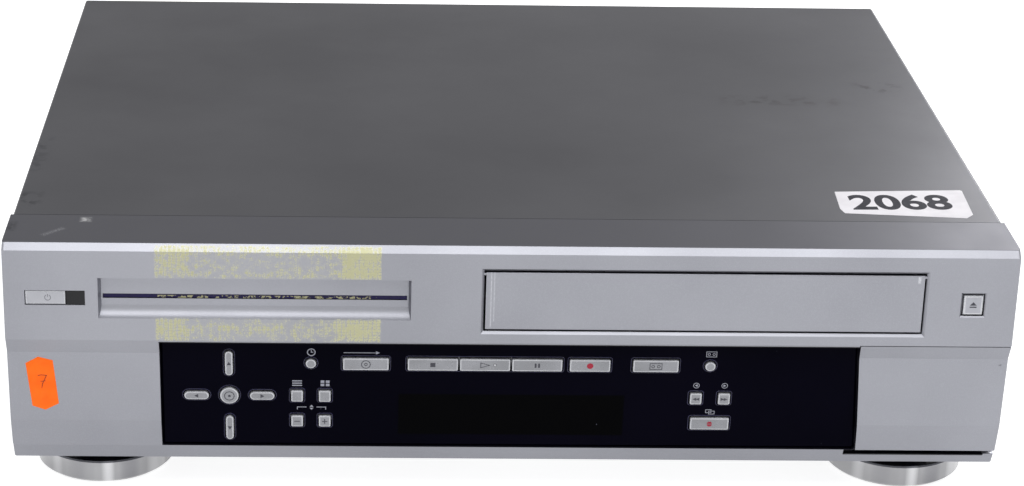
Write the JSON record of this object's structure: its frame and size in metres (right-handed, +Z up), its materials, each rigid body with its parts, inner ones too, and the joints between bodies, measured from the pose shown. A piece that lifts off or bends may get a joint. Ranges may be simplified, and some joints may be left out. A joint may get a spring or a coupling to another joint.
{
  "type": "video recorder",
  "caption": "Full-width video recorder with a tape deck behind a swing-in door and a hard disk inside, transport keys in a leaning display window and a flap over front sockets.",
  "frame": {"origin": "on the surface the feet stand on, at the middle of the width and of the depth over the rear sockets", "axes": "+X to the right as seen from the front, +Y to the back, +Z up"},
  "size_m": [0.435, 0.359, 0.124],
  "materials": {
    "front_panel": "satin silver paint",
    "display_window": "smoked and glossy",
    "slot_lens": "dark clear",
    "sensor_window": "dark and glossy",
    "top_cover": "fine grained grey paint",
    "bottom_tray": "zinc plated",
    "rear_panel": "satin",
    "front_feet": "plated rim on moulded cup",
    "foot_pads": "matt",
    "rear_feet": "matt",
    "cover_screws": "blackened",
    "front_board": "solder resist",
    "display_tube": "clear glass with grey electrodes",
    "front_sockets": "moulded",
    "main_board": "solder resist",
    "power_supply": "brown board",
    "tuner": "tinned",
    "scart_sockets": "moulded",
    "rear_phono_sockets": "moulded with plated barrels",
    "mains_inlet": "moulded",
    "hard_disk": "cast body with steel lid",
    "disk_bracket": "zinc plated",
    "ribbon_cable": "grey ribbon",
    "fan_frame": "moulded",
    "deck_chassis": "zinc plated",
    "drum_base": "turned",
    "cassette_door": "satin silver paint",
    "socket_flap": "satin silver paint",
    "cassette_carriage": "zinc plated",
    "cassette_holder": "zinc plated",
    "supply_guide": "polished post on moulded shoe",
    "take_up_guide": "polished post on moulded shoe",
    "pinch_arm": "steel arm with rubber roller",
    "supply_reel": "natural",
    "take_up_reel": "natural",
    "drum_rotor": "turned and polished",
    "capstan": "ground",
    "fan_rotor": "moulded",
    "power_button": "satin",
    "eject_button": "satin silver paint",
    "cursor_up_button": "satin silver",
    "cursor_down_button": "satin silver",
    "cursor_left_button": "satin silver",
    "cursor_right_button": "satin silver",
    "ok_button": "satin silver",
    "timer_button": "satin silver",
    "menu_button": "satin silver",
    "navigation_button": "satin silver",
    "channel_down_button": "satin silver",
    "channel_up_button": "satin silver",
    "disk_select_button": "satin silver",
    "stop_button": "satin silver",
    "play_button": "satin silver",
    "pause_button": "satin silver",
    "record_button": "satin silver",
    "tape_select_button": "satin silver",
    "tape_mode_button": "satin silver",
    "rewind_button": "satin silver",
    "fast_forward_button": "satin silver",
    "dub_button": "satin silver"
  },
  "bodies": {
    "recorder": {"front_panel": "front_panel", "display_window": "display_window", "slot_lens": "slot_lens", "sensor_window": "sensor_window", "top_cover": "top_cover", "bottom_tray": "bottom_tray", "rear_panel": "rear_panel", "front_feet": "front_feet", "foot_pads": "foot_pads", "rear_feet": "rear_feet", "cover_screws": "cover_screws", "front_board": "front_board", "display_tube": "display_tube", "front_sockets": "front_sockets", "main_board": "main_board", "power_supply": "power_supply", "tuner": "tuner", "scart_sockets": "scart_sockets", "rear_phono_sockets": "rear_phono_sockets", "mains_inlet": "mains_inlet", "hard_disk": "hard_disk", "disk_bracket": "disk_bracket", "ribbon_cable": "ribbon_cable", "fan_frame": "fan_frame", "deck_chassis": "deck_chassis", "drum_base": "drum_base"},
    "cassette_door": {"cassette_door": "cassette_door"},
    "socket_flap": {"socket_flap": "socket_flap"},
    "cassette_carriage": {"cassette_carriage": "cassette_carriage"},
    "cassette_holder": {"cassette_holder": "cassette_holder"},
    "supply_guide": {"supply_guide": "supply_guide"},
    "take_up_guide": {"take_up_guide": "take_up_guide"},
    "pinch_arm": {"pinch_arm": "pinch_arm"},
    "supply_reel": {"supply_reel": "supply_reel"},
    "take_up_reel": {"take_up_reel": "take_up_reel"},
    "drum_rotor": {"drum_rotor": "drum_rotor"},
    "capstan": {"capstan": "capstan"},
    "fan_rotor": {"fan_rotor": "fan_rotor"},
    "power_button": {"power_button": "power_button"},
    "eject_button": {"eject_button": "eject_button"},
    "cursor_up_button": {"cursor_up_button": "cursor_up_button"},
    "cursor_down_button": {"cursor_down_button": "cursor_down_button"},
    "cursor_left_button": {"cursor_left_button": "cursor_left_button"},
    "cursor_right_button": {"cursor_right_button": "cursor_right_button"},
    "ok_button": {"ok_button": "ok_button"},
    "timer_button": {"timer_button": "timer_button"},
    "menu_button": {"menu_button": "menu_button"},
    "navigation_button": {"navigation_button": "navigation_button"},
    "channel_down_button": {"channel_down_button": "channel_down_button"},
    "channel_up_button": {"channel_up_button": "channel_up_button"},
    "disk_select_button": {"disk_select_button": "disk_select_button"},
    "stop_button": {"stop_button": "stop_button"},
    "play_button": {"play_button": "play_button"},
    "pause_button": {"pause_button": "pause_button"},
    "record_button": {"record_button": "record_button"},
    "tape_select_button": {"tape_select_button": "tape_select_button"},
    "tape_mode_button": {"tape_mode_button": "tape_mode_button"},
    "rewind_button": {"rewind_button": "rewind_button"},
    "fast_forward_button": {"fast_forward_button": "fast_forward_button"},
    "dub_button": {"dub_button": "dub_button"}
  },
  "joints": [
    {"name": "cassette_door_hinge", "type": "hinge", "parent": "recorder", "child": "cassette_door", "pos_m": [0.0828, -0.1779, 0.1117], "axis": [1, 0, 0], "range_deg": [0, 90], "stiffness_Nm_per_rad": 0.004},
    {"name": "socket_flap_hinge", "type": "hinge", "parent": "recorder", "child": "socket_flap", "pos_m": [0.185, -0.1663, 0.0274], "axis": [1, 0, 0], "range_deg": [0, 80]},
    {"name": "carriage_slide", "type": "slide", "parent": "recorder", "child": "cassette_carriage", "axis": [0, -1, 0], "range_m": [-0.032, 0]},
    {"name": "holder_drop", "type": "slide", "parent": "cassette_carriage", "child": "cassette_holder", "axis": [0, 0, 1], "range_m": [-0.024, 0]},
    {"name": "supply_guide_slide", "type": "slide", "parent": "recorder", "child": "supply_guide", "axis": [-0.1293, 0.9916, 0], "range_m": [0, 0.04639]},
    {"name": "take_up_guide_slide", "type": "slide", "parent": "recorder", "child": "take_up_guide", "axis": [0.1293, 0.9916, 0], "range_m": [0, 0.04639]},
    {"name": "pinch_arm_pivot", "type": "hinge", "parent": "recorder", "child": "pinch_arm", "pos_m": [0.1628, 0.0105, 0.058], "axis": [0, 0, 1], "range_deg": [-25, 0]},
    {"name": "supply_reel_spin", "type": "hinge", "parent": "recorder", "child": "supply_reel", "pos_m": [0.0368, -0.0645, 0.055], "axis": [0, 0, 1], "continuous": true},
    {"name": "take_up_reel_spin", "type": "hinge", "parent": "recorder", "child": "take_up_reel", "pos_m": [0.1288, -0.0645, 0.055], "axis": [0, 0, 1], "continuous": true},
    {"name": "drum_spin", "type": "hinge", "parent": "recorder", "child": "drum_rotor", "pos_m": [0.0828, 0.0425, 0.05], "axis": [0, -0.1045, 0.9945], "continuous": true},
    {"name": "capstan_spin", "type": "hinge", "parent": "recorder", "child": "capstan", "pos_m": [0.1348, 0.0035, 0.05], "axis": [0, 0, 1], "continuous": true},
    {"name": "power_button_press", "type": "slide", "parent": "recorder", "child": "power_button", "axis": [0, 1, 0], "range_m": [0, 0.0008], "stiffness_N_per_m": 900},
    {"name": "eject_button_press", "type": "slide", "parent": "recorder", "child": "eject_button", "axis": [0, 1, 0], "range_m": [0, 0.0008], "stiffness_N_per_m": 900},
    {"name": "cursor_up_button_press", "type": "slide", "parent": "recorder", "child": "cursor_up_button", "axis": [0, 0.9948, 0.1019], "range_m": [0, 0.0008], "stiffness_N_per_m": 700},
    {"name": "cursor_down_button_press", "type": "slide", "parent": "recorder", "child": "cursor_down_button", "axis": [0, 0.9948, 0.1019], "range_m": [0, 0.0008], "stiffness_N_per_m": 700},
    {"name": "cursor_left_button_press", "type": "slide", "parent": "recorder", "child": "cursor_left_button", "axis": [0, 0.9948, 0.1019], "range_m": [0, 0.0008], "stiffness_N_per_m": 700},
    {"name": "cursor_right_button_press", "type": "slide", "parent": "recorder", "child": "cursor_right_button", "axis": [0, 0.9948, 0.1019], "range_m": [0, 0.0008], "stiffness_N_per_m": 700},
    {"name": "ok_button_press", "type": "slide", "parent": "recorder", "child": "ok_button", "axis": [0, 0.9948, 0.1019], "range_m": [0, 0.0008], "stiffness_N_per_m": 700},
    {"name": "timer_button_press", "type": "slide", "parent": "recorder", "child": "timer_button", "axis": [0, 0.9948, 0.1019], "range_m": [0, 0.0008], "stiffness_N_per_m": 700},
    {"name": "menu_button_press", "type": "slide", "parent": "recorder", "child": "menu_button", "axis": [0, 0.9948, 0.1019], "range_m": [0, 0.0008], "stiffness_N_per_m": 700},
    {"name": "navigation_button_press", "type": "slide", "parent": "recorder", "child": "navigation_button", "axis": [0, 0.9948, 0.1019], "range_m": [0, 0.0008], "stiffness_N_per_m": 700},
    {"name": "channel_down_button_press", "type": "slide", "parent": "recorder", "child": "channel_down_button", "axis": [0, 0.9948, 0.1019], "range_m": [0, 0.0008], "stiffness_N_per_m": 700},
    {"name": "channel_up_button_press", "type": "slide", "parent": "recorder", "child": "channel_up_button", "axis": [0, 0.9948, 0.1019], "range_m": [0, 0.0008], "stiffness_N_per_m": 700},
    {"name": "disk_select_button_press", "type": "slide", "parent": "recorder", "child": "disk_select_button", "axis": [0, 0.9948, 0.1019], "range_m": [0, 0.0008], "stiffness_N_per_m": 700},
    {"name": "stop_button_press", "type": "slide", "parent": "recorder", "child": "stop_button", "axis": [0, 0.9948, 0.1019], "range_m": [0, 0.0008], "stiffness_N_per_m": 700},
    {"name": "play_button_press", "type": "slide", "parent": "recorder", "child": "play_button", "axis": [0, 0.9948, 0.1019], "range_m": [0, 0.0008], "stiffness_N_per_m": 700},
    {"name": "pause_button_press", "type": "slide", "parent": "recorder", "child": "pause_button", "axis": [0, 0.9948, 0.1019], "range_m": [0, 0.0008], "stiffness_N_per_m": 700},
    {"name": "record_button_press", "type": "slide", "parent": "recorder", "child": "record_button", "axis": [0, 0.9948, 0.1019], "range_m": [0, 0.0008], "stiffness_N_per_m": 700},
    {"name": "tape_select_button_press", "type": "slide", "parent": "recorder", "child": "tape_select_button", "axis": [0, 0.9948, 0.1019], "range_m": [0, 0.0008], "stiffness_N_per_m": 700},
    {"name": "tape_mode_button_press", "type": "slide", "parent": "recorder", "child": "tape_mode_button", "axis": [0, 0.9948, 0.1019], "range_m": [0, 0.0008], "stiffness_N_per_m": 700},
    {"name": "rewind_button_press", "type": "slide", "parent": "recorder", "child": "rewind_button", "axis": [0, 0.9948, 0.1019], "range_m": [0, 0.0008], "stiffness_N_per_m": 700},
    {"name": "fast_forward_button_press", "type": "slide", "parent": "recorder", "child": "fast_forward_button", "axis": [0, 0.9948, 0.1019], "range_m": [0, 0.0008], "stiffness_N_per_m": 700},
    {"name": "dub_button_press", "type": "slide", "parent": "recorder", "child": "dub_button", "axis": [0, 0.9948, 0.1019], "range_m": [0, 0.0008], "stiffness_N_per_m": 700},
    {"name": "fan_spin", "type": "hinge", "parent": "recorder", "child": "fan_rotor", "pos_m": [-0.12, 0.1605, 0.072], "axis": [0, 1, 0], "continuous": true}
  ],
  "couplings": [
    {"joint": "take_up_guide_slide", "follows": "supply_guide_slide", "ratio": 1}
  ]
}
